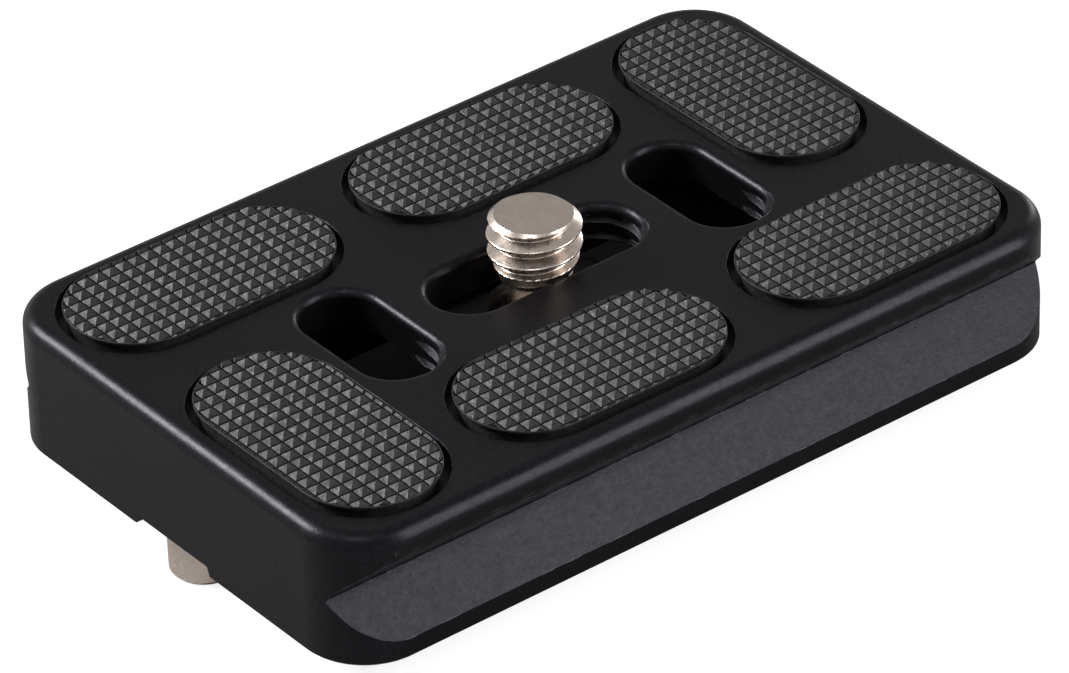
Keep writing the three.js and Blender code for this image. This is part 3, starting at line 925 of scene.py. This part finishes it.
def make_stop_screw(name, node, steel):
    low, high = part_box(node)
    centre = ((low.x + high.x) / 2, (low.y + high.y) / 2)
    rings = [
        hexagon(STOP_HEX_RADIUS, low.z + STOP_HEX_DEPTH, centre),
        hexagon(STOP_HEX_RADIUS, low.z + STOP_CHAMFER / 2, centre),
        circle(STOP_HEX_RADIUS + STOP_CHAMFER / 2, low.z, centre=centre),
        circle(STOP_HEAD_RADIUS - STOP_CHAMFER, low.z, centre=centre),
        circle(STOP_HEAD_RADIUS, low.z + STOP_CHAMFER, centre=centre),
        circle(STOP_HEAD_RADIUS, FOOT_Z + CHANNEL_DEPTH, centre=centre),
        circle(STOP_SHANK_RADIUS, FOOT_Z + CHANNEL_DEPTH, centre=centre),
        circle(STOP_SHANK_RADIUS, high.z, centre=centre),
    ]
    piece = loft(name, rings)
    round_edges(piece, EDGE_ROUND / 2, STOP_ROUNDED_ABOVE)
    shade(piece)
    dress(piece, node, "plate", steel)


def make_camera():
    azimuth = math.radians(CAMERA_AZIMUTH)
    elevation = math.radians(CAMERA_ELEVATION)
    back = Vector((
        math.sin(azimuth) * math.cos(elevation),
        -math.cos(azimuth) * math.cos(elevation),
        math.sin(elevation),
    ))
    right = Vector((math.cos(azimuth), math.sin(azimuth), 0))
    axes = Matrix((right, back.cross(right), back)).transposed().to_4x4()
    data = bpy.data.cameras.new("photograph_camera")
    data.lens = CAMERA_LENS
    data.sensor_width = SENSOR_WIDTH
    data.clip_end = FAR_CLIP
    camera = bpy.data.objects.new("photograph_camera", data)
    roll = Matrix.Rotation(math.radians(CAMERA_ROLL), 4, "Z")
    camera.matrix_world = Matrix.Translation(CAMERA_TARGET + back * CAMERA_DISTANCE) @ axes @ roll
    bpy.context.scene.collection.objects.link(camera)
    bpy.context.scene.camera = camera


def add_lamp(name, direction, size, watts):
    """A softbox that faces the origin."""
    data = bpy.data.lights.new(name, "AREA")
    data.shape = "RECTANGLE"
    data.size, data.size_y = size
    data.energy = watts
    data.color = linear(LAMP_COLOUR)[:3]
    lamp = bpy.data.objects.new(name, data)
    towards = Vector(direction).normalized()
    lamp.location = towards * LAMP_DISTANCE
    lamp.rotation_euler = towards.to_track_quat("Z", "Y").to_euler()
    bpy.context.scene.collection.objects.link(lamp)


def mirrored_share(tree, path):
    """1 for rays that metal or glass sends on, else 0."""
    pair = {0: path["Is Glossy Ray"], 1: path["Is Transmission Ray"]}
    return add_node(tree, "ShaderNodeMath", pair, operation="MAXIMUM").outputs[0]


def switched(tree, share, off, on):
    """One value or another, by a share of 0 or 1."""
    inputs = {"Factor": share, "A": off, "B": on}
    return add_node(tree, "ShaderNodeMix", inputs).outputs["Result"]


def level_by_ray(tree, seen, mirrored, lit):
    """One level for what the camera sees, one for what metal and glass mirror, one for lighting."""
    path = add_node(tree, "ShaderNodeLightPath").outputs
    unseen = switched(tree, mirrored_share(tree, path), lit, mirrored)
    return switched(tree, path["Is Camera Ray"], unseen, seen)


def make_world():
    # White all round for the camera; metal and glass see it white at the horizon, with a dimmer
    # ceiling above.
    world = bpy.data.worlds.new("studio")
    bpy.context.scene.world = world
    world.use_nodes = True
    tree = world.node_tree
    tree.nodes.clear()
    towards = add_node(tree, "ShaderNodeTexCoord").outputs["Generated"]
    height = add_node(tree, "ShaderNodeSeparateXYZ", {"Vector": towards}).outputs["Z"]
    ceiling = add_node(tree, "ShaderNodeMapRange", {
        "Value": height,
        "From Min": 0.0,
        "From Max": HORIZON_RISE,
        "To Min": 1.0,
        "To Max": CEILING_LEVEL,
    })
    level = level_by_ray(tree, 1.0, ceiling.outputs["Result"], ROOM_LEVEL)
    sky = add_node(tree, "ShaderNodeBackground", {"Color": WHITE, "Strength": level})
    add_node(tree, "ShaderNodeOutputWorld", {"Surface": sky.outputs["Background"]})


def make_floor():
    # White paper: it takes the soft shadow and otherwise reads as plain white. Its lift towards
    # white fades out under the plate, where real paper lies in the dark. It is clear for a camera
    # below it, so that the underside can be seen.
    mesh = bmesh.new()
    corners = ((-1, -1), (1, -1), (1, 1), (-1, 1))
    mesh.faces.new([mesh.verts.new((x * FLOOR_REACH, y * FLOOR_REACH, 0)) for x, y in corners])
    data = bpy.data.meshes.new("paper_floor")
    mesh.to_mesh(data)
    mesh.free()
    floor = bpy.data.objects.new("paper_floor", data)
    bpy.context.scene.collection.objects.link(floor)
    made = bpy.data.materials.new("white_paper")
    made.use_nodes = True
    tree = made.node_tree
    tree.nodes.clear()
    place = add_node(tree, "ShaderNodeTexCoord").outputs["Object"]
    apart = add_node(tree, "ShaderNodeSeparateXYZ", {"Vector": place}).outputs
    shares = []
    for axis, half in (("X", PLATE_HIGH.x), ("Y", PLATE_HIGH.y)):
        reach = add_node(tree, "ShaderNodeMath", {0: apart[axis]}, operation="ABSOLUTE").outputs[0]
        inner, outer = half - 2 * SHADE_MARGIN, half - SHADE_MARGIN
        edge = {"Value": reach, "From Min": inner, "From Max": outer}
        shares.append(add_node(tree, "ShaderNodeMapRange", edge, interpolation_type="SMOOTHSTEP"))
    outside = {0: shares[0].outputs["Result"], 1: shares[1].outputs["Result"]}
    open_share = add_node(tree, "ShaderNodeMath", outside, operation="MAXIMUM").outputs[0]
    lift = level_by_ray(tree, PAPER_LIFT, PAPER_LIFT_MIRRORED, 0.0)
    factors = {0: open_share, 1: lift}
    strength = add_node(tree, "ShaderNodeMath", factors, operation="MULTIPLY").outputs[0]
    paper = add_node(tree, "ShaderNodeBsdfDiffuse", {"Color": linear(PAPER_COLOUR)}).outputs["BSDF"]
    white = add_node(tree, "ShaderNodeEmission", {"Color": WHITE, "Strength": strength})
    pair = {0: paper, 1: white.outputs["Emission"]}
    both = add_node(tree, "ShaderNodeAddShader", pair).outputs["Shader"]
    behind = add_node(tree, "ShaderNodeNewGeometry").outputs["Backfacing"]
    watched = add_node(tree, "ShaderNodeLightPath").outputs["Is Camera Ray"]
    factors = {0: behind, 1: watched}
    from_below = add_node(tree, "ShaderNodeMath", factors, operation="MULTIPLY").outputs[0]
    clear = add_node(tree, "ShaderNodeBsdfTransparent").outputs["BSDF"]
    shown = add_node(tree, "ShaderNodeMixShader", {0: from_below, 1: both, 2: clear})
    add_node(tree, "ShaderNodeOutputMaterial", {"Surface": shown.outputs["Shader"]})
    data.materials.append(made)


make_plate(anodised_aluminium())
make_pads(moulded_rubber())
make_camera_screw(turned_steel("turned_steel_camera_screw", Vector((0, 0, 0))))
make_washer(black_nylon())
make_ring(drawn_wire())
for side_name in ("left", "right"):
    stop_node = "stop_screw_" + side_name
    stop_low, stop_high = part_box(stop_node)
    stop_steel = turned_steel("turned_steel_" + stop_node, (stop_low + stop_high) / 2)
    make_stop_screw(stop_node + "_turned", stop_node, stop_steel)

make_floor()
make_world()
add_lamp("key_softbox", KEY_DIRECTION, KEY_SIZE, KEY_WATTS)
add_lamp("fill_softbox", FILL_DIRECTION, FILL_SIZE, FILL_WATTS)
add_lamp("rim_softbox", RIM_DIRECTION, RIM_SIZE, RIM_WATTS)
add_lamp("top_softbox", TOP_DIRECTION, TOP_SIZE, TOP_WATTS)
make_camera()
bpy.context.scene.view_settings.view_transform = "Standard"
